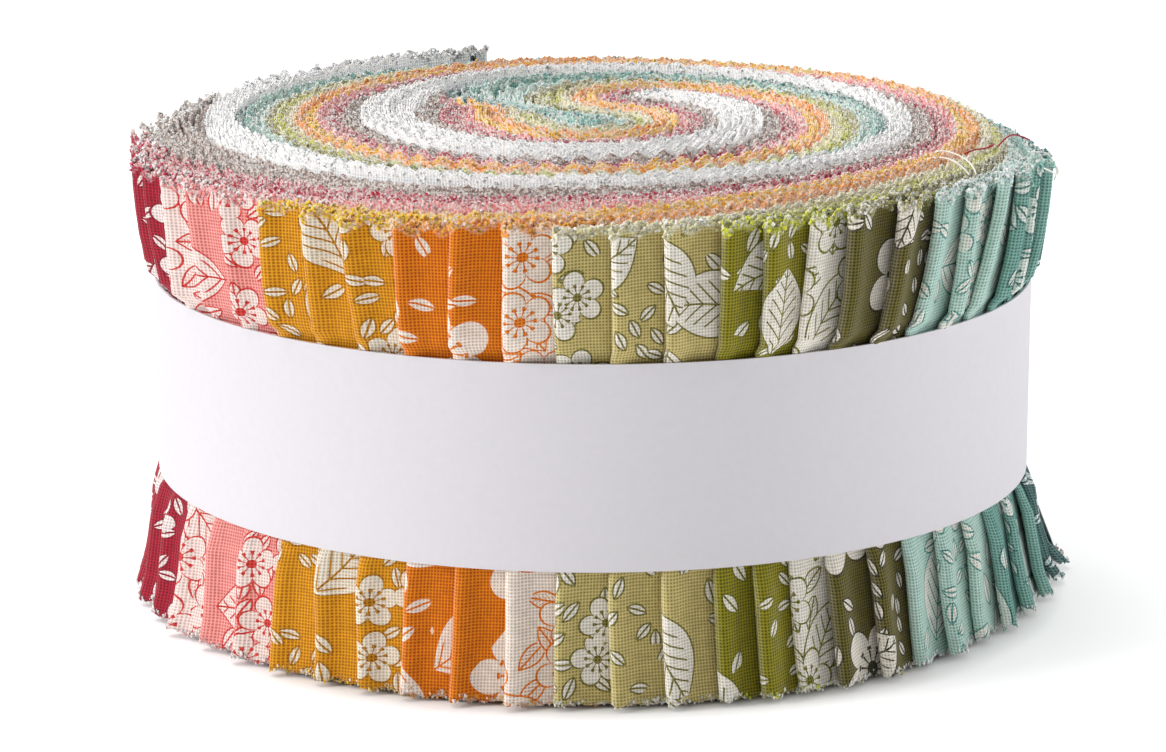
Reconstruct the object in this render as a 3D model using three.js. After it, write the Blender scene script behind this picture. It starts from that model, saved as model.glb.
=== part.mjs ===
// A roll of quilting fabric strips, in millimetres, standing on its cut edges with +Z up.
// Forty strips, each cut 63.5 mm wide and folded in half, are stacked with their folds stepped round
// the outside and then wound together. A paper band ties the waist, so the cloth flares above and below.
// Angles are in degrees, seen from above: 0 is right, 90 is behind, 180 is left and 270 is the front.
import * as THREE from 'three';

const stripWidth = 63.5;
const foldedThickness = 0.5625;
const waistRadius = 60.0;
const bandGap = 0.3;
const bandThickness = 1.0;
const bandBottom = 18.3;
const bandTop = 45.6;
const bandLap = { from: 76, to: 104, lift: 0.5, ramp: 2 };

// Each colour family: how many strips it has, and the angle of its first fold.
const families = [
  { name: 'white', strips: 5, firstFold: 105 },
  { name: 'taupe', strips: 6, firstFold: 140 },
  { name: 'wine', strips: 4, firstFold: 180.5 },
  { name: 'coral', strips: 3, firstFold: 207 },
  { name: 'gold', strips: 3, firstFold: 227.8 },
  { name: 'orange', strips: 3, firstFold: 246.7 },
  { name: 'sage', strips: 3, firstFold: 265.6 },
  { name: 'lime', strips: 3, firstFold: 284.7 },
  { name: 'olive', strips: 2, firstFold: 299.6 },
  { name: 'aqua', strips: 3, firstFold: 311.8 },
  { name: 'teal', strips: 3, firstFold: 330 },
  { name: 'deepTeal', strips: 2, firstFold: 349 },
];
const lastFoldEnd = 362;
const plainArcStep = 8;

// Round the outline: how far the cloth flares past the waist at the top and at the bottom, how high
// the rim stands, and how far the folds lean round by the time they reach the bottom.
const outline = [
  { angle: 0, topFlare: 3.6, bottomFlare: 9.4, rim: 63.6, lean: 7 },
  { angle: 14, topFlare: 3.4, bottomFlare: 7.5, rim: 63.5, lean: 5 },
  { angle: 32, topFlare: 3.2, bottomFlare: 3.6, rim: 63.6, lean: 0 },
  { angle: 60, topFlare: 3.2, bottomFlare: 3.0, rim: 64.4, lean: 0 },
  { angle: 95, topFlare: 3.2, bottomFlare: 3.0, rim: 65.0, lean: 0 },
  { angle: 108, topFlare: 3.4, bottomFlare: 3.4, rim: 66.6, lean: 0 },
  { angle: 130, topFlare: 3.8, bottomFlare: 3.8, rim: 65.6, lean: 0 },
  { angle: 155, topFlare: 4.4, bottomFlare: 4.0, rim: 64.0, lean: 0 },
  { angle: 195, topFlare: 4.2, bottomFlare: 4.8, rim: 63.5, lean: -1 },
  { angle: 230, topFlare: 3.4, bottomFlare: 2.2, rim: 63.5, lean: 0 },
  { angle: 270, topFlare: 3.3, bottomFlare: 1.9, rim: 63.5, lean: 0 },
  { angle: 298, topFlare: 3.3, bottomFlare: 2.0, rim: 64.2, lean: 1 },
  { angle: 318, topFlare: 3.6, bottomFlare: 1.6, rim: 65.2, lean: 2 },
  { angle: 334, topFlare: 3.8, bottomFlare: 3.0, rim: 64.6, lean: 4 },
  { angle: 348, topFlare: 3.8, bottomFlare: 7.0, rim: 64.0, lean: 7 },
];

// Up the side: which end of the roll a row belongs to, its share of that end's flare, its height as a
// share of the way from the base to the band or from the band to the rim, and how much a fold shows.
const sideRows = [
  { end: 'bottom', height: 0, flare: 1, step: 1 },
  { end: 'bottom', height: 0.25, flare: 0.72, step: 1 },
  { end: 'bottom', height: 0.6, flare: 0.5, step: 1 },
  { end: 'bottom', height: 0.9, flare: 0.38, step: 0.9 },
  { end: 'bottom', height: 0.98, flare: 0, step: 0.5 },
  { end: 'top', height: 0.02, flare: 0, step: 0.5 },
  { end: 'top', height: 0.1, flare: 0.42, step: 0.9 },
  { end: 'top', height: 0.4, flare: 0.72, step: 1 },
  { end: 'top', height: 0.75, flare: 0.92, step: 1 },
  { end: 'top', height: 1, flare: 1, step: 1 },
];

// Each fold stands out from the strip before it. These are columns across one strip: the share of the
// way to the next fold, and how far the surface lies in from the folds' crests.
const foldColumns = [
  { share: 0.0, inset: 1.0 },
  { share: 0.1, inset: 0.1 },
  { share: 0.45, inset: 0.0 },
];
const foldInset = 0.9;

const domeHeight = 1.9;
const domeRun = 9;
const rimLip = 2.4;
const spiralColumns = 60;
const ridgesPerTurn = 10;
const ridgeRelief = 0.8;
const whiteRidgeRelief = 1.4;
const coreRadius = 1.6;
const coreRelief = 12;
const windingCentre = { x: 1.5, y: 3 };
const bandColumns = 120;

const degrees = Math.PI / 180;
const stripCount = families.reduce((sum, family) => sum + family.strips, 0);
const turnPitch = stripCount * foldedThickness;

function polar(radius, angle, height, centre = { x: 0, y: 0 }) {
  return new THREE.Vector3(
    centre.x + radius * Math.cos(angle * degrees),
    centre.y + radius * Math.sin(angle * degrees),
    height,
  );
}

function easeBetween(from, to, share) {
  return from + (to - from) * (1 - Math.cos(Math.PI * share)) / 2;
}

// A column of the outline table at any angle, eased between its rows.
function alongOutline(column, angle) {
  const turned = THREE.MathUtils.euclideanModulo(angle, 360);
  const after = outline.findIndex((row) => row.angle > turned);
  const next = after < 0 ? { ...outline[0], angle: 360 } : outline[after];
  const last = after < 0 ? outline[outline.length - 1] : outline[after - 1];
  const share = (turned - last.angle) / (next.angle - last.angle);
  return easeBetween(last[column], next[column], share);
}

function foldAngles() {
  return families.flatMap((family, index) => {
    const end = index + 1 < families.length ? families[index + 1].firstFold : lastFoldEnd;
    const step = (end - family.firstFold) / family.strips;
    return Array.from({ length: family.strips }, (_, strip) => family.firstFold + strip * step);
  });
}

// Every upright line of the side: three to a folded strip, then plain ones behind, where the last
// strip runs on round to the first fold.
function sideColumns() {
  const folds = foldAngles();
  const columns = folds.flatMap((fold, index) => {
    const next = index + 1 < folds.length ? folds[index + 1] : lastFoldEnd;
    return foldColumns.map(({ share, inset }) => ({ angle: fold + share * (next - fold), inset }));
  });
  const plainArc = folds[0] + 360 - lastFoldEnd;
  const plainCount = Math.round(plainArc / plainArcStep);
  for (let index = 0; index < plainCount; index++) {
    const share = index / plainCount;
    columns.push({ angle: lastFoldEnd + share * plainArc, inset: 0.3 + 0.7 * share });
  }
  return columns;
}

function sidePoint(row, column) {
  const height = row.end === 'bottom'
    ? row.height * bandBottom
    : bandTop + row.height * (alongOutline('rim', column.angle) - bandTop);
  const flare = row.flare * alongOutline(row.end === 'bottom' ? 'bottomFlare' : 'topFlare', column.angle);
  const lean = row.end === 'bottom' ? alongOutline('lean', column.angle) * (1 - row.height) : 0;
  return polar(waistRadius + flare - foldInset * row.step * column.inset, column.angle + lean, height);
}

// Height of the wound top above the rim, where depth is the way in from the outer face.
function topHeight(angle, depth) {
  const rim = alongOutline('rim', angle);
  const middle = stripWidth + domeHeight;
  return easeBetween(rim, middle, Math.min(1, depth / domeRun));
}

// Spiral rows over the top: a new row starts at the rim after each tenth of a turn, as the colour
// families do, and runs inwards by one pitch in a turn. Rows stand high and low by turns.
function topPoint(angle, depth, row) {
  const whiteRow = THREE.MathUtils.euclideanModulo(row, ridgesPerTurn) === 0;
  const high = whiteRow ? whiteRidgeRelief : ridgeRelief;
  const fade = Math.min(1, (waistRadius - depth) / coreRelief);
  const relief = fade * (row % 2 === 0 ? high : -ridgeRelief);
  const inward = depth / waistRadius;
  const outer = waistRadius + alongOutline('topFlare', angle) * (1 - inward);
  const centre = { x: windingCentre.x * inward, y: windingCentre.y * inward };
  return polar(outer - depth, angle, topHeight(angle, depth) + relief, centre);
}

// Collects points and triangles, and drops the triangles that close to a line.
class Skin {
  constructor() {
    this.points = [];
    this.triangles = [];
  }

  add(point) {
    return this.points.push(point) - 1;
  }

  triangle(a, b, c) {
    if (a !== b && b !== c && c !== a) this.triangles.push(a, b, c);
  }

  quad(a, b, c, d) {
    this.triangle(a, b, c);
    this.triangle(a, c, d);
  }

  // Joins two closed rings that start at one angle and run anticlockwise, the outer one first.
  // Each ring is a list of points with their angles, and the nearer next point is taken in turn.
  zip(outer, inner) {
    const at = (ring, index) => ring[index % ring.length].point;
    const angleAt = (ring, index) => ring[index % ring.length].angle + (index < ring.length ? 0 : 360);
    let o = 0;
    let i = 0;
    while (o < outer.length || i < inner.length) {
      const outerIsNext = angleAt(outer, o + 1) <= angleAt(inner, i + 1);
      if (i === inner.length || (o < outer.length && outerIsNext)) {
        this.triangle(at(outer, o), at(outer, o + 1), at(inner, i));
        o += 1;
      } else {
        this.triangle(at(outer, o), at(inner, i + 1), at(inner, i));
        i += 1;
      }
    }
  }

  geometry() {
    const geometry = new THREE.BufferGeometry();
    const positions = this.points.flatMap((point) => point.toArray());
    geometry.setAttribute('position', new THREE.Float32BufferAttribute(positions, 3));
    geometry.setIndex(this.triangles);
    geometry.computeVertexNormals();
    return geometry;
  }
}

function addSide(skin) {
  const columns = sideColumns();
  const rings = sideRows.map((row) => columns.map((column) => skin.add(sidePoint(row, column))));
  for (let row = 0; row + 1 < rings.length; row++) {
    for (let column = 0; column < columns.length; column++) {
      const next = (column + 1) % columns.length;
      skin.quad(rings[row][column], rings[row][next], rings[row + 1][next], rings[row + 1][column]);
    }
  }
  const rim = rings[rings.length - 1].map((point, column) => ({ point, angle: columns[column].angle }));
  return { base: rings[0], rim };
}

function addSpiralTop(skin, rim) {
  const rowPitch = turnPitch / ridgesPerTurn;
  const firstAngle = families[0].firstFold;
  const coreDepth = waistRadius - coreRadius;
  const rowCount = ridgesPerTurn + Math.ceil(coreDepth / rowPitch);
  const ringAt = (depth) => Array.from({ length: spiralColumns }, (_, column) => {
    const angle = firstAngle + column * 360 / spiralColumns;
    return { point: skin.add(topPoint(angle, depth, 1)), angle };
  });
  const lip = ringAt(rimLip);
  const core = ringAt(coreDepth);
  const inner = new Map();

  const vertex = (column, row) => {
    if (column === spiralColumns) return vertex(0, row + ridgesPerTurn);
    const turns = column / spiralColumns;
    const depth = rimLip + (row + ridgesPerTurn * (turns - 1)) * rowPitch;
    if (depth <= rimLip) return lip[column].point;
    if (depth >= coreDepth) return core[column].point;
    const key = `${column}:${row}`;
    if (!inner.has(key)) inner.set(key, skin.add(topPoint(firstAngle + turns * 360, depth, row)));
    return inner.get(key);
  };

  for (let row = 0; row < rowCount; row++) {
    for (let column = 0; column < spiralColumns; column++) {
      skin.quad(vertex(column, row), vertex(column + 1, row), vertex(column + 1, row + 1), vertex(column, row + 1));
    }
  }
  skin.zip(rim, lip);
  const middle = skin.add(new THREE.Vector3(windingCentre.x, windingCentre.y, stripWidth + domeHeight));
  core.forEach(({ point }, index) => skin.triangle(point, core[(index + 1) % core.length].point, middle));
}

function addBase(skin, base) {
  const middle = skin.add(new THREE.Vector3(0, 0, 0));
  base.forEach((point, index) => skin.triangle(middle, base[(index + 1) % base.length], point));
}

function rollGeometry() {
  const skin = new Skin();
  const { base, rim } = addSide(skin);
  addSpiralTop(skin, rim);
  addBase(skin, base);
  return skin.geometry();
}

// The band is a closed ring of paper. Its outer face steps up where one end laps over the other.
function bandGeometry() {
  const skin = new Skin();
  const inner = waistRadius + bandGap;
  const lapLift = (angle) => {
    const inside = Math.min(angle - bandLap.from, bandLap.to - angle);
    return bandLap.lift * THREE.MathUtils.clamp(inside / bandLap.ramp, 0, 1);
  };
  const corners = [
    { height: bandBottom, outer: false },
    { height: bandBottom, outer: true },
    { height: bandTop, outer: true },
    { height: bandTop, outer: false },
  ];
  const rings = corners.map(({ height, outer }) => Array.from({ length: bandColumns }, (_, column) => {
    const angle = column * 360 / bandColumns;
    const radius = outer ? inner + bandThickness + lapLift(angle) : inner;
    return skin.add(polar(radius, angle, height));
  }));
  rings.forEach((ring, index) => {
    const above = rings[(index + 1) % rings.length];
    ring.forEach((point, column) => {
      const next = (column + 1) % bandColumns;
      skin.quad(point, ring[next], above[next], above[column]);
    });
  });
  return skin.geometry();
}

function cloth() {
  return new THREE.MeshStandardMaterial({ color: 0xd9a520, roughness: 0.92, metalness: 0 });
}

function paper() {
  return new THREE.MeshStandardMaterial({ color: 0xe9e7ec, roughness: 0.7, metalness: 0 });
}

function named(name, geometry, material) {
  const mesh = new THREE.Mesh(geometry, material);
  mesh.name = name;
  return mesh;
}

const roll = new THREE.Group();
roll.add(named('strip_roll', rollGeometry(), cloth()));
roll.add(named('paper_band', bandGeometry(), paper()));

export default roll;
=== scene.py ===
import math
import bpy
import numpy as np
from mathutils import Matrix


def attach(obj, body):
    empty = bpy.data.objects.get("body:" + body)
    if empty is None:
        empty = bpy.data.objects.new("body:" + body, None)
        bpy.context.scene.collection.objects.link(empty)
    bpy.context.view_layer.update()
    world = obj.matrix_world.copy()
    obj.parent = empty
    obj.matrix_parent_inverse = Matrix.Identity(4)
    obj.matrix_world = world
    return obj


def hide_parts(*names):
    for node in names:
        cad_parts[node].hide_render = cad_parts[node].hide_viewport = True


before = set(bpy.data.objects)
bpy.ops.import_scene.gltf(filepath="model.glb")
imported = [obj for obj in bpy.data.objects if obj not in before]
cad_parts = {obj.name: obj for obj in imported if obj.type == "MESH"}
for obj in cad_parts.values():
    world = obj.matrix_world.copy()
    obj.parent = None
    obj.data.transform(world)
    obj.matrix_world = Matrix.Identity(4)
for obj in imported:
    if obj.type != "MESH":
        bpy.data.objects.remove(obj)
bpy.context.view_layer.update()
mm = 0.001

# Angles are in degrees seen from above: 0 right, 90 behind, 180 left, 270 the front. Lengths are in mm.

rollShape = {
    "pitch": 0.52,  # depth that one folded strip takes
    "waist": 61.0,
    "flareDepth": 7.0,  # strips over which the flare dies out
    "pleatShare": 0.8,  # how much of a fold's bulge the flare already holds
    "tipAngle": 786.0,  # where the innermost strip turns back
    "centre": (1.0, 2.0),
    "centreDepth": 14.0,  # strips over which the middle of the winding shifts there
    "bandFrom": 18.3,
    "bandTo": 45.6,
    "coreHeight": 65.4,
    "rimRun": 9.0,  # from the rim's height to the core's
    "bottomLine": 0.6,
    "turnBulge": 0.1,
    "coreDepth": 21.0,
    "looseFrom": 14.5,  # the last layers in the core are wound loosely
    "looseBulge": 0.55,
    "coreFrom": 640.0,  # angle from which the core leaves less room
    "endGap": 0.3,  # room that an inner end keeps
}

clothCut = {
    "width": 63.5,
    "length": 1118.0,
    "thick": 0.2,
    "toothPitch": 3.7,
    "toothDepth": 1.05,
    "footTeeth": 0.6,  # teeth at the foot against those at the top
    "teethFrom": 630.0,  # angle where the teeth of all strips are nearly in step
    "fineRun": 14.0,  # closely modelled run from the fold, of the outer and the inner layer
    "innerFineRun": 3.0,
    "lastFineRun": 122.0,  # the last strip's free run
}

# angle, flare at the top, flare at the bottom, height of the rim, lean of the folds at the bottom
outline = np.array([
    (0, 1.7, 9.6, 61.6, 7),
    (14, 1.0, 7.0, 61.5, 5),
    (32, 0.9, 3.0, 62.0, 0),
    (60, 1.4, 2.6, 63.2, 0),
    (95, 2.0, 2.6, 64.1, 0),
    (130, 2.8, 3.4, 64.2, 0),
    (155, 3.4, 3.6, 63.8, 0),
    (195, 3.4, 4.4, 63.5, -1),
    (230, 3.2, 2.3, 63.5, 0),
    (270, 3.4, 2.1, 63.5, 0),
    (298, 3.5, 2.3, 64.1, 1),
    (318, 3.7, 2.0, 64.9, 2),
    (334, 3.6, 2.8, 64.0, 4),
    (348, 2.8, 6.2, 62.6, 7),
])

# angle, how far each fold bulges
pleatTable = np.array([
    (0, 0.6), (60, 0.2), (105, 0.35), (180, 1.0), (225, 1.4), (270, 1.45), (295, 1.4), (312, 1.4),
    (345, 1.2),
])
# angle, and there the lean of the folds at the top, the slack inside the rim, the rise of the white strips
topLean = np.array([(0, 0), (100, 0), (250, 0), (285, 0.3), (300, 1.2), (312, 2.2), (334, 2.4), (348, 1.5)])
slackTable = np.array([(0, 0), (60, 0), (100, 1.2), (150, 3.6), (200, 3.6), (250, 0.6), (290, 0)])
whiteLift = np.array([(105, 2.2), (115, 2.0), (124, 1.5), (138, 1.2), (150, 1.0), (200, 0.9), (800, 0.8)])
# share of the height below or above the band, share of the flare there
lowFlare = np.array([(0, 1), (0.25, 0.72), (0.6, 0.5), (0.9, 0.38), (0.98, 0)])
highFlare = np.array([(0.02, 0), (0.1, 0.42), (0.4, 0.72), (0.75, 0.92), (1, 1)])

# family: strips, angle of the first fold, ground, pale motif, line, thread ends, share of ends left in
# colour, prints from the first fold on. The colour of the thread ends is set brighter than the ground for
# most families:
# partly the fibre's own colour, partly painted light on the crumbs
families = [
    ("white", 6, 105, "#FBFBFD", "#FFFFFF", "#E4E4E8", "#FFFFFF", 0.5,
     ["plain"] * 6),
    ("taupe", 5, 143, "#B4A096", "#EFE8E2", "#6F5F5C", "#8E7067", 0.12,
     ["blossom", "sprig", "plain", "leaf", "blossom"]),
    ("wine", 4, 179, "#B01836", "#F3E6E3", "#A01530", "#B8203F", 0.26,
     ["sprig", "leaf", "sprig", "blossom"]),
    ("coral", 3, 207, "#F4A49E", "#F8E6E0", "#DC4640", "#F48A8C", 0.3,
     ["outline", "leaf", "blossom"]),
    ("gold", 3, 227.8, "#E2A218", "#F3E9D8", "#C28A14", "#FFBE38", 0.74,
     ["sprig", "leaf", "blossom"]),
    ("orange", 3, 246.7, "#E28408", "#F6E9DE", "#E8871A", "#FFA040", 0.62,
     ["leaf", "petal", "outline"]),
    ("sage", 3, 265.6, "#CBBC7D", "#EFEAE0", "#8A8240", "#E2D8A4", 0.4,
     ["blossom", "sprig", "leaf"]),
    ("lime", 3, 284.7, "#918A0C", "#EFEAE0", "#7E7D10", "#C9CC3C", 0.5,
     ["leaf", "sprig", "outline"]),
    ("olive", 2, 299.6, "#6A621E", "#EEE8DD", "#3E3C1A", "#97944A", 0.35,
     ["petal", "sprig"]),
    ("aqua", 3, 311.8, "#BBD8CF", "#EAEAE2", "#5C9E96", "#BCDFD7", 0.35,
     ["leaf", "blossom", "plain"]),
    ("teal", 3, 330, "#79ADA3", "#E3E8E2", "#2F7A72", "#79B5AB", 0.35,
     ["leaf", "blossom", "plain"]),
    ("deepTeal", 2, 349, "#2C6665", "#DDE8E6", "#123F42", "#35797A", 0.4,
     ["sprig", "plain"]),
]
lastFoldEnd = 362.0

strips = []
for index, (family, count, first, ground, pale, line, fuzzWithPaintedLight, coloured, prints) in enumerate(families):
    end = families[index + 1][2] if index + 1 < len(families) else lastFoldEnd
    for k in range(count):
        strips.append({
            "family": family,
            "familyIndex": index,
            "fold": first + k * (end - first) / count,
            "ground": ground,
            "pale": pale,
            "line": line,
            "fuzzWithPaintedLight": fuzzWithPaintedLight,
            "coloured": coloured,
            "print": prints[k],
        })
stripCount = len(strips)
foldAngles = np.array([strip["fold"] for strip in strips])


def ease(x):
    x = np.clip(x, 0, 1)
    return x * x * (3 - 2 * x)


def around(table, angle, column=1):
    return np.interp(angle, table[:, 0], table[:, column], period=360)


def foldsPassed(angle):
    turns = np.floor((angle - foldAngles[0]) / 360)
    steps = np.append(foldAngles, foldAngles[0] + 360)
    return np.interp(angle - 360 * turns, steps, np.arange(1, stripCount + 2)) + stripCount * turns


def centreShift(depth):
    # the outer turns lie round the axis, the inner ones round the centre
    return ease(depth / rollShape["centreDepth"])[:, None] * np.array(rollShape["centre"])


def armRadius(angle, depth, heights=None, rim=None):
    # angle and depth have a value for each column, and heights, if given, a row of heights for each
    reach = np.clip(1 - depth / rollShape["flareDepth"], 0, 1)
    tight = rollShape["waist"] - rollShape["pitch"] * depth - around(slackTable, angle) * ease(depth / 6)
    pleat = rollShape["pleatShare"] * around(pleatTable, angle)
    if heights is None:
        return tight + (around(outline, angle) - pleat) * reach
    low = np.interp(heights / rollShape["bandFrom"], lowFlare[:, 0], lowFlare[:, 1])
    share = (heights - rollShape["bandTo"]) / (rim[:, None] - rollShape["bandTo"])
    high = np.interp(share, highFlare[:, 0], highFlare[:, 1])
    foot = around(outline, angle, 2)[:, None]
    low = low ** (1 + 0.22 * np.maximum(foot - 3, 0))  # a wide foot turns out late
    flare = foot * low + around(outline, angle, 1)[:, None] * high
    waistPleat = 0.35
    pinch = waistPleat + (pleat[:, None] - waistPleat) * np.minimum(1, 4 * np.maximum(low, high))
    return tight[:, None] + (flare - pinch) * reach[:, None]


def spread(angle, depth):
    # flat place of the winding at its top edge
    turn = np.radians(angle)
    out = np.stack([np.cos(turn), np.sin(turn)], -1)
    return centreShift(depth) + armRadius(angle, depth)[:, None] * out


def turnBack(order):
    # the outer run of a layer, the round turn at its tip, and how deep it lies in the winding
    start = foldAngles[min(stripCount, max(1, round(order))) - 1]
    angle = np.arange(start, rollShape["tipAngle"], 1.0)
    depth = foldsPassed(angle) - order + 0.5
    outer = spread(angle, depth)
    centre = np.array(rollShape["centre"])
    depthIn = rollShape["pitch"] * (order - 0.5)
    tipAngle = np.array([rollShape["tipAngle"]])
    tip = spread(tipAngle, foldsPassed(tipAngle))[0]
    back = centre + (tip - centre) * (1 - depthIn / rollShape["coreDepth"])
    middle = (outer[-1] + back) / 2
    arm = outer[-1] - middle
    side = np.array([-arm[1], arm[0]])
    sweep = np.linspace(0, math.pi, max(4, int(np.hypot(*arm) * 2)))[1:-1, None]
    loose = max(0.0, depthIn - rollShape["looseFrom"]) / (rollShape["coreDepth"] - rollShape["looseFrom"])
    bulge = 1 + rollShape["turnBulge"] * (depthIn / rollShape["coreDepth"]) ** 2
    bulge += rollShape["looseBulge"] * loose
    turn = middle + arm * np.cos(sweep) + side * np.sin(sweep) * bulge
    return angle, depth, outer, turn, depthIn


def roomInside():
    # for the line of the second turn, seen from the centre: its points, their reach and the room inside it
    outer, turn = turnBack(stripCount + 0.25)[2:4]
    centre = np.array(rollShape["centre"])
    edge = np.concatenate([outer[-40:], turn]) - centre
    steps = np.arange(0, len(edge) - 1, 0.02)  # closely spaced points on the innermost layer
    edge = np.stack([np.interp(steps, np.arange(len(edge)), edge[:, k]) for k in (0, 1)], -1)
    edgeAngle = np.degrees(np.arctan2(edge[:, 1], edge[:, 0]))
    edgeReach = np.hypot(*edge.T)
    back = np.arange(rollShape["tipAngle"], rollShape["tipAngle"] - 358, -2.0)
    line = spread(back, foldsPassed(back)) - centre
    reach = np.hypot(*line.T)
    taken = np.zeros(len(back))
    for k, angle in enumerate(back):
        near = np.abs((edgeAngle - angle + 180) % 360 - 180) < 0.6
        if near.any() and angle < rollShape["coreFrom"]:
            taken[k] = edgeReach[near].max()
    return line, reach, reach - taken


def layerPath(order):
    # the run of one layer of cloth from its fold to its inner end: flat places, angles, depths
    angle, depth, outer, turn, depthIn = turnBack(order)
    line, reach, room = roomTable
    deep = depthIn * np.clip(room / rollShape["coreDepth"], 0.86, 1.4)
    full = np.nonzero(room < deep + rollShape["endGap"])[0]
    stop = full[0] if len(full) else len(line)
    share = 1 - deep / reach
    inner = (np.array(rollShape["centre"]) + line * share[:, None])[:stop]
    flat = np.concatenate([outer, turn, inner])
    spare = len(flat) - len(angle)
    angles = np.append(angle, np.full(spare, rollShape["tipAngle"]))
    depths = np.append(depth, np.full(spare, float(stripCount)))
    return flat, angles, depths, len(angle)


roomTable = roomInside()


def runAlong(flat):
    return np.append(0, np.cumsum(np.hypot(*np.diff(flat, axis=0).T)))


def teeth(phase):
    return np.cos(phase * 2 * math.pi)


def topLine(strip, number, angle, depth):
    blend = ease(rollShape["pitch"] * depth / rollShape["rimRun"])
    height = around(outline, angle, 3) * (1 - blend) + rollShape["coreHeight"] * blend
    if strip["family"] == "white":
        height = height + np.interp(angle, whiteLift[:, 0], whiteLift[:, 1])
    turn = np.radians(angle)
    sway = np.sin(turn * 2.3 + number * 1.7) * 0.25 + np.sin(turn * 5.1 + number) * 0.15
    return height + strip["rise"] + sway * ease(depth / 3)


# heights of the rows of points in a column; the first is moved to the foot
fineRows = [0, 1.2, 4.6, 9.2, 13.7, 17.3, 18.6, 32, 45.2, 46.3, 47.6, 50, 53, 56.5, 60]
coarseRows = [0, rollShape["bandFrom"], rollShape["bandTo"]]
bandReach = (16.8, 47.1)  # between these heights the band presses the folds down
bandEase = 1.5  # height over which it does so


def columnHeights(kind, top, bottom):
    if kind == "fine":
        rows = np.array(fineRows)
        heights = np.tile(rows, (len(top), 1))
        heights[:, 0] = bottom
        heights[:, 1] = bottom + 1.2
        heights = np.column_stack([heights, top - 1.3, top])
    elif kind == "coarse":
        heights = np.tile(np.array(coarseRows), (len(top), 1))
        heights[:, 0] = bottom
        heights = np.column_stack([heights, top])
    else:
        heights = np.column_stack([bottom, top])
    return heights


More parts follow.
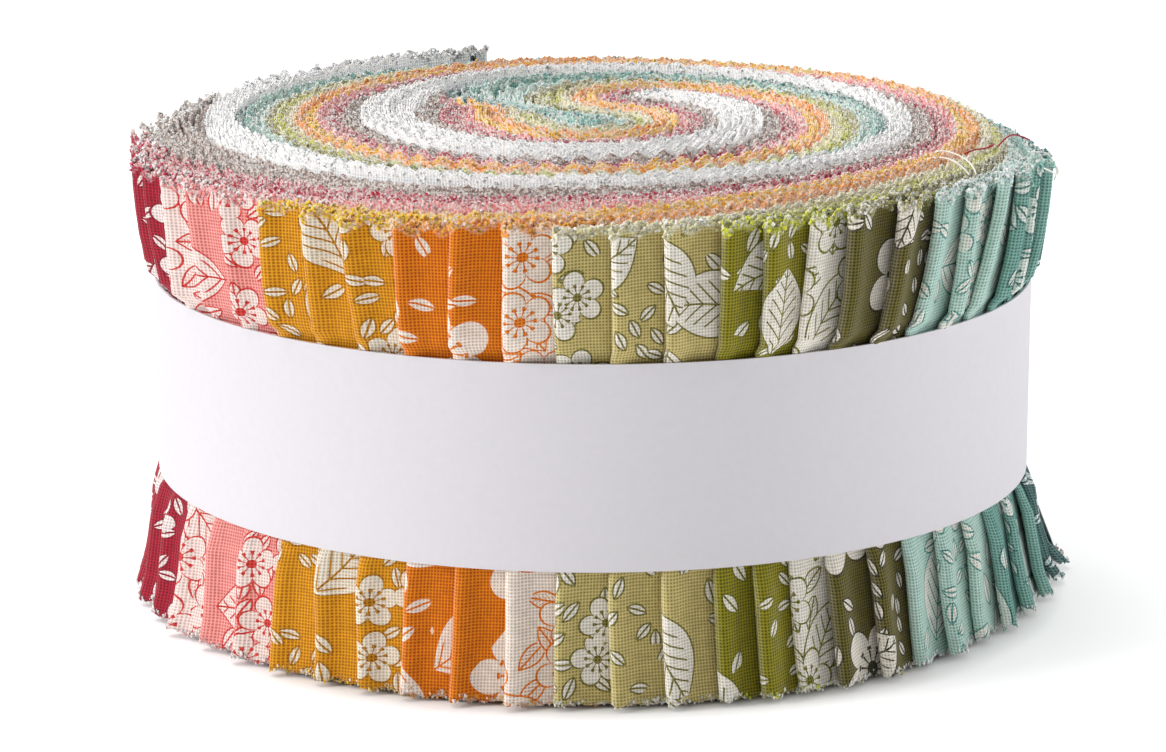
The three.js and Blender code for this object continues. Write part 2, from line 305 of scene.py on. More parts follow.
def makeColumns(strip, number, side):
    # columns of one layer from the fold inward; side is 1 for the outer layer and -1 for the inner
    flat, angles, depths, armCount = layerPath(number + 0.25 * side)
    run = runAlong(flat)
    armRun = run[armCount - 1]
    pitch = clothCut["toothPitch"]
    inStep = np.interp(clothCut["teethFrom"], angles[:armCount], run[:armCount])
    phaseZero = strip["phase"] - inStep / pitch
    gap = rollShape["pitch"] / 2
    bulge = strip["bulge"]
    foldRadius = (gap + bulge) / 2
    quarter = foldRadius * math.pi / 2
    fineRun = clothCut["fineRun"] if side > 0 else clothCut["innerFineRun"]
    if number == stripCount and side > 0:
        fineRun = clothCut["lastFineRun"]
    arc = np.linspace(0, quarter, 5)[1:] if side < 0 else np.linspace(0, quarter, 5)
    near = np.arange(quarter + 0.5, 4, 0.6)
    mid = np.arange(4.2, fineRun, 0.93 if fineRun < 20 else 1.4)
    lastFine = (arc if len(mid) == 0 else mid)[-1]
    firstHalf = math.ceil(((lastFine + 0.9) / pitch + phaseZero) * 2)
    lastHalf = math.floor((run[-1] / pitch + phaseZero) * 2)
    far = (np.arange(firstHalf, lastHalf + 1) / 2 - phaseZero) * pitch
    cloth = np.concatenate([arc, near, mid, far])
    fineCount = len(arc) + len(near) + len(mid)
    # near the fold the cloth turns round a small radius, and the outer layer bulges
    turn = np.clip(cloth / foldRadius, 0, math.pi / 2)
    along = np.where(cloth < quarter, foldRadius * (1 - np.cos(turn)), foldRadius + cloth - quarter)
    if side > 0:
        swell = bulge * np.exp(-((along - foldRadius) / strip["swellRun"]) ** 2)
        lift = np.where(cloth < quarter, bulge / 2 + foldRadius * np.sin(turn) - gap / 2, swell)
    else:
        lift = np.where(cloth < quarter, bulge / 2 - foldRadius * np.sin(turn) + gap / 2, 0.0)
    angle = np.interp(along, run, angles)
    depth = np.interp(along, run, depths)
    onArm = along <= armRun
    angle = np.where(onArm, angle, rollShape["tipAngle"])
    place = np.stack([np.interp(along, run, flat[:, 0]), np.interp(along, run, flat[:, 1])], -1)
    tangent = np.gradient(place, axis=0)
    tangent /= np.hypot(*tangent.T)[:, None] + 1e-9
    normal = np.stack([tangent[:, 1], -tangent[:, 0]], -1) * side
    turned = np.radians(angle)
    radial = np.stack([np.cos(turned), np.sin(turned)], -1)
    forward = np.stack([-np.sin(turned), np.cos(turned)], -1)
    folding = cloth < quarter + 0.01
    normal[folding] = (radial * side * np.sin(turn)[:, None] - forward * np.cos(turn)[:, None])[folding]
    phase = cloth / pitch + phaseZero
    top = topLine(strip, number, angle, depth)
    rough = strip["rng"].normal(0, 1, (3, len(cloth)))
    half = clothCut["toothDepth"] / 2
    # strips that stand proud at the top are raised at the foot too, and so is each fold's outer edge
    bottom = rollShape["bottomLine"] + np.clip(top - 64.6, 0, 9) * 0.7 + 0.55 * np.clip(1.2 - depth, 0, 1)
    top = top + half * teeth(phase) * (1 + 0.12 * rough[0]) + 0.12 * rough[1]
    footHalf = clothCut["footTeeth"] * half
    bottom = np.maximum(bottom - footHalf * teeth(phase + 0.3) * (1 + 0.3 * rough[2]), 0.02)
    kinds = np.where(np.arange(len(cloth)) < fineCount, 0, np.where(depth < 8, 1, 2))
    columns = []
    for kindIndex, kind in enumerate(["fine", "coarse", "plain"]):
        chosen = np.nonzero(kinds == kindIndex)[0]
        if len(chosen) == 0:
            continue
        heights = columnHeights(kind, top[chosen], bottom[chosen])
        flatAngle = angle[chosen]
        rim = around(outline, flatAngle, 3)
        if kind == "plain":
            spot = np.repeat(place[chosen][:, None, :], 2, axis=1)
        else:
            underBand = np.minimum(heights - bandReach[0], bandReach[1] - heights)
            squeeze = np.clip(1 - underBand / bandEase, 0.25, 1)
            radius = armRadius(flatAngle, depth[chosen], heights, rim)
            wave = strip["wave"]
            ripple = 0.2 + 0.16 * np.sin(heights / 7.3 + wave[0]) + 0.1 * np.sin(heights / 3.7 + wave[1])
            ripple = ripple * strip["bulge"] * np.exp(-(along[chosen] / 5) ** 2)[:, None]
            radius = radius + (lift[chosen][:, None] + ripple) * squeeze
            low = np.clip(1 - heights / rollShape["bandFrom"], 0, 1)
            fade = np.exp(-(along[chosen] / 24) ** 2)[:, None]
            lean = around(outline, flatAngle, 4)[:, None] * low * fade
            drift = strip["drift"] + around(topLean, flatAngle)[:, None]
            drift = drift * np.clip((heights - rollShape["bandTo"]) / 18, 0, 1) * fade
            lean = lean + drift + 0.35 * np.sin(heights / 8.1 + wave[2]) * fade * (squeeze - 0.25)
            spin = np.radians(flatAngle[:, None] + lean)
            shift = centreShift(depth[chosen])
            spot = np.stack([radius * np.cos(spin), radius * np.sin(spin)], -1) + shift[:, None, :]
        for k, index in enumerate(chosen):
            columns.append({
                "spot": spot[k],
                "heights": heights[k],
                "normal": normal[index],
                "cloth": cloth[index] * side,
                "order": index,
                "depth": depth[index],
                "tooth": teeth(phase[index]),
            })
    columns.sort(key=lambda column: column["order"])
    return columns


def joinRings(first, second, firstMarks, secondMarks):
    # faces between two closed rings that run the same way; marks are shares of the way round
    faces = []
    a = b = 0
    countA, countB = len(first), len(second)
    while a < countA or b < countB:
        nextA = firstMarks[a + 1] if a < countA else 9
        nextB = secondMarks[b + 1] if b < countB else 9
        if a < countA and (nextA <= nextB):
            faces.append((first[a % countA], first[(a + 1) % countA], second[b % countB]))
            a += 1
        else:
            faces.append((first[a % countA], second[(b + 1) % countB], second[b % countB]))
            b += 1
    return faces


def stripMesh(strip, number):
    outer = makeColumns(strip, number, 1)
    inner = makeColumns(strip, number, -1)
    columns = inner[::-1] + outer
    half = clothCut["thick"] / 2
    shape = {"verts": [], "faces": [], "place": [], "back": [], "edge": [], "end": [], "normals": []}
    faces = shape["faces"]
    lastRing = None
    lastMarks = None
    for column in columns:
        spot = column["spot"]
        heights = column["heights"]
        count = len(heights)
        start = len(shape["verts"])
        front = np.column_stack([spot + column["normal"] * half, heights])
        rear = np.column_stack([spot - column["normal"] * half, heights])[::-1]
        shape["verts"].extend(front.tolist() + rear.tolist())
        along = column["cloth"] + 61 * number  # each strip has its own stretch of the print
        for height in np.append(heights, heights[::-1]):
            shape["place"].append((along, height, abs(column["cloth"])))
        shape["back"].extend([0.0] * count + [1.0] * count)
        shape["edge"].extend([heights[-1]] * 2 * count)
        ring = list(range(start, start + 2 * count))
        spanHeights = (heights - heights[0]) / (heights[-1] - heights[0])
        marks = np.concatenate([spanHeights * 0.49, 0.5 + (1 - spanHeights[::-1]) * 0.49, [1.0]])
        if lastRing is not None:
            if len(ring) == len(lastRing):
                size = len(ring)
                for k in range(size):
                    after = (k + 1) % size
                    faces.append((lastRing[k], ring[k], ring[after], lastRing[after]))
            else:
                flipped = joinRings(lastRing, ring, lastMarks, marks)
                faces.extend([(c, b, a) for a, b, c in flipped])
        else:
            faces.append(tuple(ring))
        lastRing = ring
        lastMarks = marks
    faces.append(tuple(lastRing[::-1]))
    shape["end"].extend([0.0] * len(shape["verts"]))
    shape["normals"].append(np.zeros((len(shape["verts"]), 3)))
    return columns, shape


def addTufts(strip, columns, shape):
    # short thread ends that stand along the cut edges
    rng = strip["rng"]
    along = np.array([column["cloth"] for column in columns])
    depth = np.array([column["depth"] for column in columns])
    tooth = np.array([column["tooth"] for column in columns])
    span = along[-1] - along[0]
    for kind in tufts:
        up, row = (1, -1) if kind["edge"] == "top" else (-1, 0)
        spot = np.array([column["spot"][row] for column in columns])
        edge = np.array([column["heights"][row] for column in columns])
        count = int(span * kind["perMm"] * (1.0))
        where = np.sort(rng.uniform(along[0], along[-1], count))
        where = where[np.interp(where, along, depth) < kind["depth"]]
        count = len(where)
        x = np.interp(where, along, spot[:, 0])
        y = np.interp(where, along, spot[:, 1])
        z = np.interp(where, along, edge)
        size = rng.uniform(kind["small"], kind["large"], count)
        middle = np.column_stack([x, y, z - rng.uniform(-0.1, kind["sink"], count) * up])
        middle[:, :2] += rng.normal(0, kind["scatter"], (count, 2))
        outward = middle * [1, 1, 0] / np.linalg.norm(middle[:, :2], axis=1)[:, None]
        facing = kind["faceUp"] * np.array([0, 0, 1.0]) + kind["faceOut"] * outward
        # a small lump with four or six corners, turned at random
        turn = np.linalg.qr(rng.normal(0, 1, (count, 3, 3)))[0]
        turn *= np.sign(np.linalg.det(turn))[:, None, None]
        lump, sides = lumps[kind["lump"]]
        corners = np.array(lump) @ turn
        soft = (corners + facing[:, None, :]).reshape(-1, 3)
        shape["normals"].append(soft / np.linalg.norm(soft, axis=1)[:, None])
        cornerCount = len(lump)
        corners = corners * size[:, None, None] * rng.uniform(0.75, 1.25, (count, cornerCount, 1))
        points = (middle[:, None, :] + corners * [1, 1, kind["tall"]]).reshape(-1, 3)
        points[:, 2] = np.maximum(points[:, 2], 0.01)
        start = len(shape["verts"])
        shape["verts"].extend(points.tolist())
        tipShare = 0.5 + 0.5 * np.interp(where, along, tooth)
        shade = 0.65 * rng.uniform(0.0, 1.0, count) + 0.35 * tipShare + kind["paler"]
        shade = np.clip(shade, 0.15, 1)
        for k in range(count):
            first = start + cornerCount * k
            for side in sides:
                shape["faces"].append(tuple(first + corner for corner in side))
        where, z, shade = (np.repeat(values, cornerCount) for values in (where, z, shade))
        shape["place"].extend(np.column_stack([where, z, z]).tolist())
        shape["back"].extend([0.0] * len(where))
        shape["edge"].extend(z.tolist())
        shape["end"].extend(shade.tolist())


# corners and sides of a thread end
lumps = {
    "four": (
        [(0.577, 0.577, 0.577), (0.577, -0.577, -0.577), (-0.577, 0.577, -0.577), (-0.577, -0.577, 0.577)],
        [(0, 1, 2), (0, 3, 1), (0, 2, 3), (1, 3, 2)],
    ),
    "six": (
        [(1, 0, 0), (-1, 0, 0), (0, 1, 0), (0, -1, 0), (0, 0, 1), (0, 0, -1)],
        [(0, 2, 4), (2, 1, 4), (1, 3, 4), (3, 0, 4), (2, 0, 5), (1, 2, 5), (3, 1, 5), (0, 3, 5)],
    ),
}

# thread ends: all along the top, a thick crumb at the rim, and some at the foot
tufts = [
    {"edge": "top", "lump": "four", "perMm": 2.6, "depth": 99, "small": 0.18, "large": 0.3, "tall": 1.1,
     "sink": 0.6, "scatter": 0.08, "faceUp": 0.6, "faceOut": 0.0, "paler": 0.0},
    {"edge": "top", "lump": "six", "perMm": 9.0, "depth": 2.6, "small": 0.18, "large": 0.34, "tall": 1.0,
     "sink": 0.9, "scatter": 0.16, "faceUp": 0.5, "faceOut": 0.4, "paler": -0.05},
    {"edge": "foot", "lump": "six", "perMm": 5.0, "depth": 2.2, "small": 0.12, "large": 0.24, "tall": 1.6,
     "sink": 0.6, "scatter": 0.1, "faceUp": 0.0, "faceOut": 0.6, "paler": 0.3},
]


def linear(text):
    values = [int(text[k:k + 2], 16) / 255 for k in (1, 3, 5)]
    return tuple((v / 12.92 if v <= 0.04045 else ((v + 0.055) / 1.055) ** 2.4) for v in values) + (1.0,)


def addNode(tree, kind, inputs=(), out=0, **settings):
    # one node, its inputs (sockets or values, None to skip) and its settings; gives one output
    node = tree.nodes.new("ShaderNode" + kind)
    for name, value in settings.items():
        setattr(node, name, value)
    slots = [slot for slot in node.inputs if slot.enabled]
    for slot, value in zip(slots, inputs):
        if value is None:
            continue
        if isinstance(value, bpy.types.NodeSocket):
            tree.links.new(value, slot)
        else:
            slot.default_value = value
    outputs = [slot for slot in node.outputs if slot.enabled]
    return outputs[out] if outputs else node


cotton = {
    "thread": 0.43,  # real threads are 0.36 mm apart; drawn a little coarser, so that they show
    "gamma": 2.0,
    # dark: how far the painted shade in the holes of the weave darkens the colour
    "dark": 0.6,
    "lineHalf": 0.13,  # half the width of a drawn line
    "undyed": "#FFF9F2",
    "wrongSide": "#F4F0EC",
}
fullTurn = 6.283
madeMaterials = {}


def startMaterial(name):
    material = bpy.data.materials.new(name)
    material.use_nodes = True
    material.node_tree.nodes.clear()
    return material, material.node_tree


def printedCotton(strip):
    # plain-woven cotton, printed: matte, fine threads, pale at the cut edge and on the wrong side
    key = (strip["family"], strip["print"])
    if key in madeMaterials:
        return madeMaterials[key]
    material, tree = startMaterial("printed_cotton_" + strip["family"] + "_" + strip["print"])
    place = addNode(tree, "Attribute", out=1, attribute_name="clothPlace")
    back = addNode(tree, "Attribute", out=2, attribute_name="backShare")
    threadEnd = addNode(tree, "Attribute", out=2, attribute_name="threadEnd")
    edgeHeight = addNode(tree, "Attribute", out=2, attribute_name="edgeHeight")
    along = addNode(tree, "SeparateXYZ", [place], out=0)
    height = addNode(tree, "SeparateXYZ", [place], out=1)
    fromFold = addNode(tree, "SeparateXYZ", [place], out=2)
    flat = addNode(tree, "CombineXYZ", [along, height, 0.0])
    ground = linear(strip["ground"])
    pale = linear(strip["pale"])
    line = linear(strip["line"])

    def scattered(size, shift, share):
        # cells of about this size, a share of them used, each with its own middle and turn
        start = (shift + 23.7 * strip["familyIndex"], shift * 0.37 + 9.1 * strip["familyIndex"], 0)
        moved = addNode(tree, "VectorMath", [flat, start], operation="ADD")
        cells = addNode(tree, "TexVoronoi", [moved, 1 / size, 0, 0.5, 2, 0.8], voronoi_dimensions="2D").node
        local = addNode(tree, "VectorMath", [moved, cells.outputs["Position"]], operation="SUBTRACT")
        chance = addNode(tree, "SeparateColor", [cells.outputs["Color"]])
        turn = addNode(tree, "Math", [chance, fullTurn], operation="MULTIPLY")
        spun = addNode(tree, "VectorRotate", [local, None, turn], rotation_type="Z_AXIS")
        chance = addNode(tree, "SeparateColor", [cells.outputs["Color"]], out=1)
        kept = addNode(tree, "Math", [chance, share], operation="LESS_THAN")
        return addNode(tree, "SeparateXYZ", [spun], out=0), addNode(tree, "SeparateXYZ", [spun], out=1), kept

    def leaves(size, shift, veined, used=0.7, plump=0.23):
        # pointed ovals with a rib, and veins on the large ones
        x, y, kept = scattered(size, shift, used)
        share = addNode(tree, "Math", [x, 0.48 * size], operation="DIVIDE")
        taper = addNode(tree, "Math", [share, share], operation="MULTIPLY")
        taper = addNode(tree, "Math", [1.0, taper], operation="SUBTRACT")
        width = addNode(tree, "Math", [taper, plump * size], operation="MULTIPLY")
        side = addNode(tree, "Math", [y], operation="ABSOLUTE")
        inside = addNode(tree, "Math", [side, width], operation="LESS_THAN")
        fromEdge = addNode(tree, "Math", [side, width], operation="SUBTRACT")
        fromEdge = addNode(tree, "Math", [fromEdge], operation="ABSOLUTE")
        edge = addNode(tree, "Math", [fromEdge, cotton["lineHalf"]], operation="LESS_THAN")
        endShare = addNode(tree, "Math", [share], operation="ABSOLUTE")
        reachEnd = addNode(tree, "Math", [endShare, 1.02], operation="LESS_THAN")
        edge = addNode(tree, "Math", [edge, reachEnd], operation="MULTIPLY")
        rib = addNode(tree, "Math", [side, cotton["lineHalf"]], operation="LESS_THAN")
        rib = addNode(tree, "Math", [rib, inside], operation="MULTIPLY")
        marks = addNode(tree, "Math", [edge, rib], operation="MAXIMUM")
        if veined:
            slant = addNode(tree, "Math", [side, 1.1], operation="MULTIPLY")
            slant = addNode(tree, "Math", [x, slant], operation="ADD")
            slant = addNode(tree, "Math", [slant, fullTurn / (0.13 * size)], operation="MULTIPLY")
            vein = addNode(tree, "Math", [slant], operation="SINE")
            vein = addNode(tree, "Math", [vein, 0.86], operation="GREATER_THAN")
            vein = addNode(tree, "Math", [vein, inside], operation="MULTIPLY")
            veinEnd = addNode(tree, "Math", [width, 0.7], operation="MULTIPLY")
            short = addNode(tree, "Math", [side, veinEnd], operation="LESS_THAN")
            vein = addNode(tree, "Math", [vein, short], operation="MULTIPLY")
            marks = addNode(tree, "Math", [marks, vein], operation="MAXIMUM")
        figure = addNode(tree, "Math", [inside, kept], operation="MULTIPLY")
        return figure, addNode(tree, "Math", [marks, kept], operation="MULTIPLY")

    def blossoms(size, shift, petals, used=0.75):
        # round-petalled flowers with an outline, a dark eye and stamens
        x, y, kept = scattered(size, shift, used)
        squareX = addNode(tree, "Math", [x, x], operation="MULTIPLY")
        squareY = addNode(tree, "Math", [y, y], operation="MULTIPLY")
        reach = addNode(tree, "Math", [squareX, squareY], operation="ADD")
        reach = addNode(tree, "Math", [reach], operation="SQRT")
        angle = addNode(tree, "Math", [y, x], operation="ARCTAN2")
        angle = addNode(tree, "Math", [angle, petals / 2], operation="MULTIPLY")
        lobe = addNode(tree, "Math", [angle], operation="COSINE")
        lobe = addNode(tree, "Math", [lobe], operation="ABSOLUTE")
        lobe = addNode(tree, "Math", [lobe, 0.6], operation="POWER")
        rim = addNode(tree, "Math", [lobe, 0.22 * size], operation="MULTIPLY")
        rim = addNode(tree, "Math", [rim, 0.22 * size], operation="ADD")
        inside = addNode(tree, "Math", [reach, rim], operation="LESS_THAN")
        fromEdge = addNode(tree, "Math", [reach, rim], operation="SUBTRACT")
        fromEdge = addNode(tree, "Math", [fromEdge], operation="ABSOLUTE")
        edge = addNode(tree, "Math", [fromEdge, 0.15], operation="LESS_THAN")
        eye = addNode(tree, "Math", [reach, 0.07 * size], operation="LESS_THAN")
        rays = addNode(tree, "Math", [angle, 4.0], operation="MULTIPLY")
        rays = addNode(tree, "Math", [rays], operation="COSINE")
        spokes = addNode(tree, "Math", [rays, 0.75], operation="GREATER_THAN")
        spokeEnd = addNode(tree, "Math", [reach, 0.17 * size], operation="LESS_THAN")
        spokes = addNode(tree, "Math", [spokes, spokeEnd], operation="MULTIPLY")
        knobs = addNode(tree, "Math", [reach, 0.19 * size], operation="SUBTRACT")
        knobs = addNode(tree, "Math", [knobs], operation="ABSOLUTE")
        knobs = addNode(tree, "Math", [knobs, 0.22], operation="LESS_THAN")
        knobSide = addNode(tree, "Math", [rays, 0.2], operation="GREATER_THAN")
        knobs = addNode(tree, "Math", [knobs, knobSide], operation="MULTIPLY")
        stamens = addNode(tree, "Math", [spokes, knobs], operation="MAXIMUM")
        marks = addNode(tree, "Math", [edge, eye], operation="MAXIMUM")
        marks = addNode(tree, "Math", [marks, stamens], operation="MAXIMUM")
        figure = addNode(tree, "Math", [inside, kept], operation="MULTIPLY")
        return figure, addNode(tree, "Math", [marks, kept], operation="MULTIPLY")

    # motifs of each print, from the lowest layer up
    prints = {
        "blossom": [(leaves, (3.4, 11.0, False)), (blossoms, (8.2, 3.0, 5))],
        "sprig": [(leaves, (3.1, 5.0, False)), (leaves, (12.5, 2.0, True, 0.45, 0.28))],
        "leaf": [(leaves, (4.0, 8.0, False, 0.4)), (leaves, (15.0, 4.0, True, 0.9, 0.3))],
        "petal": [(leaves, (3.6, 6.0, False, 0.3)), (blossoms, (15.0, 2.5, 5, 0.7))],
        "outline": [(leaves, (5.0, 7.0, True)), (leaves, (14.0, 5.0, True)), (blossoms, (9.5, 2.0, 5))],
        "plain": [(leaves, (5.5, 1.0, False, 0.3))],
    }
    base = pale if strip["print"] == "outline" else ground
    colour = addNode(tree, "Mix", [0.0, base, base], data_type="RGBA")
    for motif, sizes in prints[strip["print"]] if strip["family"] != "white" else []:
        figure, marks = motif(*sizes)
        colour = addNode(tree, "Mix", [figure, colour, pale], data_type="RGBA")
        colour = addNode(tree, "Mix", [marks, colour, line], data_type="RGBA")
    # threads, over and under, with a small hole at each corner; the holes are painted shade, a darker and
    # deeper copy of the colour
    waves = []
    for run in (along, height):
        wave = addNode(tree, "Math", [run, 2 * math.pi / cotton["thread"]], operation="MULTIPLY")
        wave = addNode(tree, "Math", [wave], operation="COSINE")
        waves.append(addNode(tree, "MapRange", [wave, -1.0, 1.0]))
    hole = addNode(tree, "Math", waves, operation="MULTIPLY")
    hole = addNode(tree, "Math", [hole, 0.6], operation="POWER")
    slub = addNode(tree, "TexNoise", [flat, 0.8, 3.0, 0.6], noise_dimensions="2D")
    shade = addNode(tree, "MapRange", [slub, 0.3, 0.7, 0.94, 1.1])
    # a little worn and paler at the fold, where the print wears; and a painted highlight brightens the
    # fold's rounded edge
    worn = addNode(tree, "MapRange", [fromFold, 0.3, 1.1, 0.15, 0.0])
    colour = addNode(tree, "Mix", [worn, colour, pale], data_type="RGBA")
    foldHighlight = addNode(tree, "MapRange", [fromFold, 0.3, 1.1, 1.2, 1.0])
    shade = addNode(tree, "Math", [shade, foldHighlight], operation="MULTIPLY")
    bright = addNode(tree, "VectorMath", [colour, shade], operation="SCALE")
    # painted shade for the holes: the colour made deeper by the gamma, then darker
    deep = addNode(tree, "Gamma", [colour, cotton["gamma"]])
    holeShadeLevel = addNode(tree, "Math", [shade, cotton["dark"]], operation="MULTIPLY")
    deep = addNode(tree, "VectorMath", [deep, holeShadeLevel], operation="SCALE")
    shaded = addNode(tree, "Mix", [hole, bright, deep], data_type="RGBA")
    wrong = addNode(tree, "Mix", [0.5, ground, linear(cotton["wrongSide"])], data_type="RGBA")
    shaded = addNode(tree, "Mix", [back, shaded, wrong], data_type="RGBA")
    # the cut edge is frayed: its last millimetre is a mixture of dyed and undyed fibre; the dyed thread-end
    # colour also holds painted light
    fuzzWithPaintedLight = linear(strip["fuzzWithPaintedLight"])
    fibre = addNode(tree, "TexNoise", [flat, 1.9, 2.0, 0.6], noise_dimensions="2D")
    fibre = addNode(tree, "MapRange", [fibre, 0.42, 0.58, 0.0, 0.75])
    frayed = addNode(tree, "Mix", [fibre, fuzzWithPaintedLight, linear(cotton["undyed"])], data_type="RGBA")
    fromEdge = addNode(tree, "Math", [edgeHeight, height], operation="SUBTRACT")
    nearEdge = addNode(tree, "MapRange", [fromEdge, 0.3, 1.3, 0.85, 0.0])
    shaded = addNode(tree, "Mix", [nearEdge, shaded, frayed], data_type="RGBA")
    # thread ends: the brightened end colour, partly fibre and partly painted light, mixed with undyed fibre
    coloured = strip["coloured"]
    endMix = addNode(tree, "MapRange", [threadEnd, coloured, coloured + 0.35, 0.0, 0.86])
    ends = addNode(tree, "Mix", [endMix, fuzzWithPaintedLight, linear(cotton["undyed"])], data_type="RGBA")
    isEnd = addNode(tree, "Math", [threadEnd, 0.1], operation="GREATER_THAN")
    final = addNode(tree, "Mix", [isEnd, shaded, ends], data_type="RGBA")
    fluff = addNode(tree, "TexNoise", [addNode(tree, "TexCoord", out=3), 6500.0, 2.0, 0.6])
    threads = addNode(tree, "Math", [1.0, hole], operation="SUBTRACT")
    relief = addNode(tree, "Mix", [isEnd, threads, fluff], data_type="FLOAT")
    bump = addNode(tree, "Bump", [0.7, 0.00012, None, relief])
    letThrough = addNode(tree, "Math", [isEnd, 0.8], operation="MULTIPLY")  # light in the thread ends
    shader = addNode(tree, "BsdfPrincipled", [final])
    body = shader.node
    body.inputs["Roughness"].default_value = 0.88
    body.inputs["Specular IOR Level"].default_value = 0.25
    body.inputs["Sheen Weight"].default_value = 0.15
    body.inputs["Subsurface Scale"].default_value = 0.0006
    body.inputs["Subsurface Radius"].default_value = (1.0, 0.85, 0.75)
    tree.links.new(letThrough, body.inputs["Subsurface Weight"])
    tree.links.new(bump, body.inputs["Normal"])
    addNode(tree, "OutputMaterial", [shader])
    madeMaterials[key] = material
    return material


bandPaper = {
    "inner": 61.0,
    "thick": 0.3,
    "from": 18.3,
    "to": 45.6,
    "lapFrom": 76.0,
    "lapTo": 104.0,
    "lapRun": 3.0,
    "lift": 0.45,
    "colour": "#D9D6DB",
    "fibreColour": "#D6D3D8",
}


def whitePaper():
    # smooth uncoated paper: matte, with a very faint fibre
    material, tree = startMaterial("uncoated_paper")
    place = addNode(tree, "TexCoord", out=3)
    fibre = addNode(tree, "TexNoise", [place, 900.0, 4.0, 0.6])
    tone = addNode(tree, "MapRange", [fibre, 0.3, 0.7, 0.0, 1.0])
    tones = [linear(bandPaper["fibreColour"]), linear(bandPaper["colour"])]
    sheetColour = addNode(tree, "Mix", [tone] + tones, data_type="RGBA")
    bump = addNode(tree, "Bump", [0.15, 0.00005, None, fibre])
    shader = addNode(tree, "BsdfPrincipled", [sheetColour])
    shader.node.inputs["Roughness"].default_value = 0.7
    shader.node.inputs["Specular IOR Level"].default_value = 0.3
    tree.links.new(bump, shader.node.inputs["Normal"])
    addNode(tree, "OutputMaterial", [shader])
    return material


def plainFloor():
    # matte studio board: pale, and lit from within away from the roll, so that the ground stays white
    material, tree = startMaterial("studio_board")
    place = addNode(tree, "TexCoord", out=3)
    reach = addNode(tree, "VectorMath", [place], out=0, operation="LENGTH")
    glow = addNode(tree, "MapRange", [reach, studio["glowFrom"], studio["glowTo"], 0.0, studio["glow"]])
    shader = addNode(tree, "BsdfPrincipled", [linear(studio["board"])])
    shader.node.inputs["Emission Color"].default_value = (1, 1, 1, 1)
    tree.links.new(glow, shader.node.inputs["Emission Strength"])
    shader.node.inputs["Roughness"].default_value = 0.9
    shader.node.inputs["Specular IOR Level"].default_value = 0.1
    addNode(tree, "OutputMaterial", [shader])
    return material


studio = {
    "camera": (-1.397, -567.1, 166.3),
    "lookDown": 0.237,  # radians
    "sensor": 36,
    "lens": 4125 / 1166 * 36,
    "room": 0.22,
    # name, angle it comes from, elevation, strength, softness in degrees
    "lamps": [
        ("key_left", 195, 25, 1.75, 22),
        ("fill_right", 10, 20, 1.45, 50),
        ("top_soft", 150, 65, 2.0, 60),
    ],
    "board": "#E8E8E8",
    "glow": 0.42,  # of the board, rising between these distances from the middle, in metres
    "glowFrom": 0.06,
    "glowTo": 0.0675,
}


def placeCamera():
    bpy.ops.object.select_all(action="DESELECT")
    bpy.ops.object.camera_add(location=[value * mm for value in studio["camera"]])
    camera = bpy.context.object
    camera.rotation_euler = (math.pi / 2 - studio["lookDown"], 0, 0)
    camera.data.sensor_width = studio["sensor"]
    camera.data.lens = studio["lens"]
    camera.data.clip_start = 0.01
    bpy.context.scene.camera = camera


def placeLights():
    world = bpy.data.worlds.new("studio")
    bpy.context.scene.world = world
    world.use_nodes = True
    background = world.node_tree.nodes["Background"]
    background.inputs["Color"].default_value = (1, 1, 1, 1)
    background.inputs["Strength"].default_value = studio["room"]
    for name, angle, elevation, power, softness in studio["lamps"]:
        bpy.ops.object.light_add(type="SUN", location=(0, 0, 1))
        lamp = bpy.context.object
        lamp.name = name
        lamp.data.energy = power
        lamp.data.angle = math.radians(softness)
        lamp.rotation_euler = (math.radians(90 - elevation), 0, math.radians(angle + 90))


placeCamera()
placeLights()
bpy.context.scene.view_settings.view_transform = "Standard"
print("camera and lights placed")

# small differences from strip to strip
walk = np.random.default_rng(11)
phase = 0.0
for number, strip in enumerate(strips, start=1):
    strip["rng"] = np.random.default_rng(100 + number)
    phase += walk.normal(0, 0.12)
    strip["phase"] = phase
    strip["rise"] = walk.normal(0, 0.22) * (2.0 if strip["fold"] > 296 else 1.0)
    strip["bulge"] = around(pleatTable, strip["fold"]) * walk.uniform(0.8, 1.25)
    strip["swellRun"] = np.interp(strip["fold"], [180, 250, 300], [1.3, 1.5, 2.5])
    strip["drift"] = walk.normal(0, 0.35)
    strip["wave"] = walk.uniform(0, 6.28, 3)


def selectOnly(piece):
    bpy.ops.object.select_all(action="DESELECT")
    bpy.context.view_layer.objects.active = piece
    piece.select_set(True)


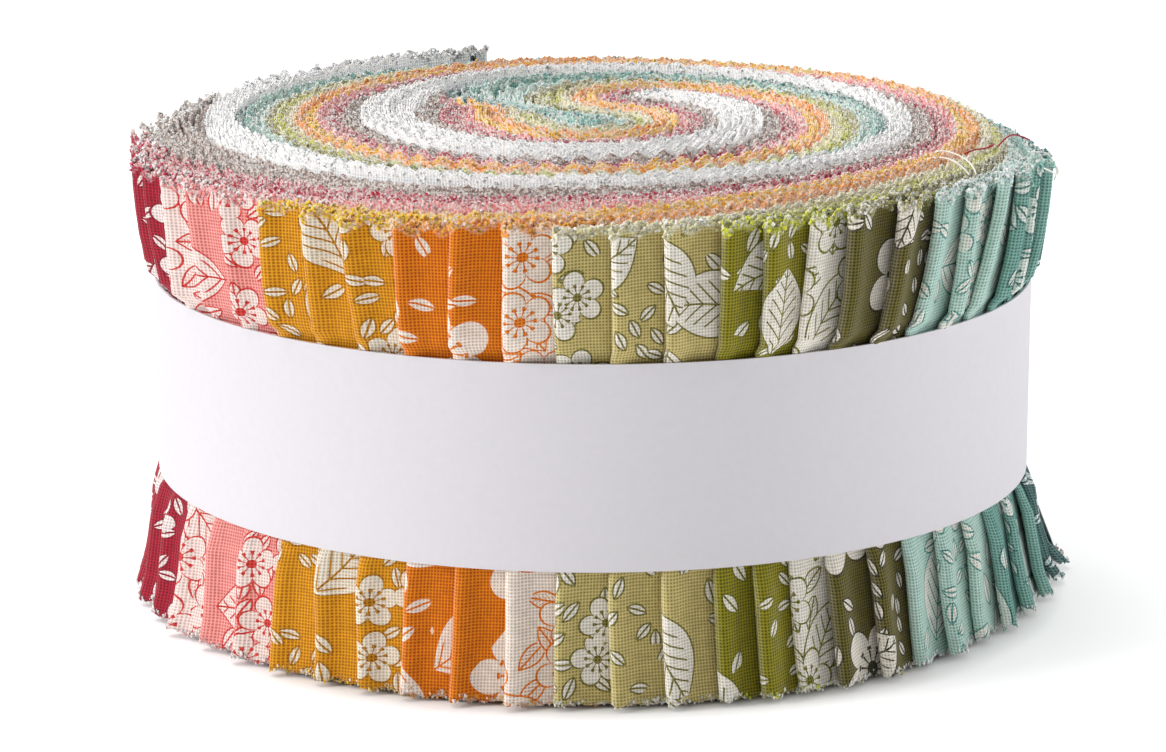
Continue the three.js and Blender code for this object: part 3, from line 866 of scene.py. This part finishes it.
# values that the cloth's material reads: name, type, field, list that they come from
meshLayers = [
    ("clothPlace", "FLOAT_VECTOR", "vector", "place"),
    ("backShare", "FLOAT", "value", "back"),
    ("edgeHeight", "FLOAT", "value", "edge"),
    ("threadEnd", "FLOAT", "value", "end"),
]
stripPieces = []
for number, strip in enumerate(strips, start=1):
    columns, shape = stripMesh(strip, number)
    clothVerts = len(shape["verts"])
    addTufts(strip, columns, shape)
    mesh = bpy.data.meshes.new("strip_%02d" % number)
    mesh.from_pydata([(x * mm, y * mm, z * mm) for x, y, z in shape["verts"]], [], shape["faces"])
    for name, kind, field, source in meshLayers:
        attribute = mesh.attributes.new(name, kind, "POINT")
        attribute.data.foreach_set(field, np.array(shape[source], dtype=np.float32).ravel())
    mesh.update()
    piece = bpy.data.objects.new("strip_%02d" % number, mesh)
    bpy.context.collection.objects.link(piece)
    selectOnly(piece)
    bpy.ops.object.shade_smooth_by_angle(angle=math.radians(50))
    sharp = mesh.attributes["sharp_edge"]
    flags = np.zeros(len(mesh.edges), dtype=bool)
    sharp.data.foreach_get("value", flags)
    ends = np.zeros(2 * len(mesh.edges), dtype=np.int32)
    mesh.edges.foreach_get("vertices", ends)
    flags &= ends[::2] < clothVerts  # thread ends stay soft
    sharp.data.foreach_set("value", flags)
    mesh.normals_split_custom_set_from_vertices(np.concatenate(shape["normals"]).tolist())
    mesh.materials.append(printedCotton(strip))
    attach(piece, "root")
    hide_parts("strip_roll")
    stripPieces.append(piece)
triangles = sum(len(face.vertices) - 2 for piece in stripPieces for face in piece.data.polygons)
print("strips wound", len(stripPieces), triangles)

# the paper band, a flat grid rolled round the waist with its ends lapped behind
bpy.ops.object.select_all(action="DESELECT")
bpy.ops.mesh.primitive_grid_add(x_subdivisions=260, y_subdivisions=4, size=2)
band = bpy.context.object
band.name = "paper_wrap"
band.data.name = "paper_wrap"
sweepFrom = bandPaper["lapFrom"]
sweepTo = bandPaper["lapTo"] + 360
for vertex in band.data.vertices:
    share = (vertex.co.x + 1) / 2
    turn = sweepFrom + share * (sweepTo - sweepFrom)
    over = ease(np.array((turn - (sweepFrom + 360 - bandPaper["lapRun"])) / bandPaper["lapRun"]))
    radius = bandPaper["inner"] + bandPaper["thick"] / 2 + bandPaper["lift"] * float(over)
    height = bandPaper["from"] + (vertex.co.y + 1) / 2 * (bandPaper["to"] - bandPaper["from"])
    vertex.co.x = radius * math.cos(math.radians(turn)) * mm
    vertex.co.y = radius * math.sin(math.radians(turn)) * mm
    vertex.co.z = height * mm
bpy.ops.object.mode_set(mode="EDIT")
bpy.ops.mesh.select_all(action="SELECT")
bpy.ops.mesh.flip_normals()
bpy.ops.object.mode_set(mode="OBJECT")
wall = band.modifiers.new("wall", "SOLIDIFY")
wall.thickness = bandPaper["thick"] * mm
wall.offset = 0
bpy.ops.object.modifier_apply(modifier="wall")
bpy.ops.object.shade_smooth_by_angle(angle=math.radians(40))
band.data.materials.append(whitePaper())
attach(band, "root")
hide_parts("paper_band")
print("band wrapped")

# a few pulled threads that lie on the rim at the right; points are x, y, z in mm
looseThreads = {
    "radius": 0.11,
    "kinds": {
        "wine": {
            "colour": "#A82840",
            "runs": [
                [(48.6, -23.8, 65.0), (50.6, -22.6, 66.0), (52.8, -21.4, 65.9), (54.4, -18.6, 66.1),
                 (53.8, -15.4, 65.2)],
                [(55.0, -14.2, 64.8), (56.4, -11.6, 65.8), (58.2, -8.4, 65.6), (60.2, -6.6, 64.4)],
            ],
        },
        "white": {
            "colour": "#F4F1EC",
            "runs": [
                [(44.6, -25.4, 65.2), (45.6, -24.2, 66.3), (48.0, -27.6, 66.5), (50.0, -32.6, 65.9),
                 (50.2, -34.6, 64.9)],
                [(43.4, -26.8, 65.2), (45.4, -28.8, 66.4), (48.2, -33.2, 66.2), (49.2, -35.4, 65.0)],
                [(59.2, -15.0, 64.2), (61.4, -14.4, 64.4), (62.9, -13.2, 62.6), (63.6, -11.6, 60.6),
                 (63.3, -10.4, 59.6)],
                [(60.4, -20.6, 63.2), (62.2, -17.2, 62.0), (63.3, -14.6, 60.8), (63.6, -12.2, 61.6),
                 (62.8, -10.6, 62.6)],
            ],
        },
    },
}


def spunThread(colour):
    # spun cotton: matte, softly ribbed by its twist
    material, tree = startMaterial("spun_cotton")
    place = addNode(tree, "TexCoord", out=3)
    twist = addNode(tree, "TexNoise", [place, 4000.0, 2.0, 0.6])
    tone = addNode(tree, "MapRange", [twist, 0.3, 0.7, 0.85, 1.1])
    tinted = addNode(tree, "VectorMath", [linear(colour)[:3], tone], operation="SCALE")
    shader = addNode(tree, "BsdfPrincipled", [tinted])
    shader.node.inputs["Roughness"].default_value = 0.85
    shader.node.inputs["Specular IOR Level"].default_value = 0.25
    addNode(tree, "OutputMaterial", [shader])
    return material


for name, thread in looseThreads["kinds"].items():
    data = bpy.data.curves.new("loose_thread_" + name, "CURVE")
    data.dimensions = "3D"
    data.bevel_depth = looseThreads["radius"] * mm
    data.bevel_resolution = 1
    data.use_fill_caps = True
    data.resolution_u = 8
    for run in thread["runs"]:
        spline = data.splines.new("NURBS")
        spline.points.add(len(run) - 1)
        for point, (x, y, z) in zip(spline.points, run):
            point.co = (x * mm, y * mm, z * mm, 1)
        spline.order_u = 3
        spline.use_endpoint_u = True
    piece = bpy.data.objects.new("loose_thread_" + name, data)
    bpy.context.collection.objects.link(piece)
    selectOnly(piece)
    bpy.ops.object.convert(target="MESH")
    bpy.ops.object.shade_smooth()
    piece = bpy.context.object
    piece.data.materials.append(spunThread(thread["colour"]))
    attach(piece, "root")
    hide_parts("strip_roll")
print("loose threads laid")

bpy.ops.object.select_all(action="DESELECT")
bpy.ops.mesh.primitive_plane_add(size=6, location=(0, 0, 0))
floor = bpy.context.object
floor.name = "studio_floor"
floor.data.materials.append(plainFloor())
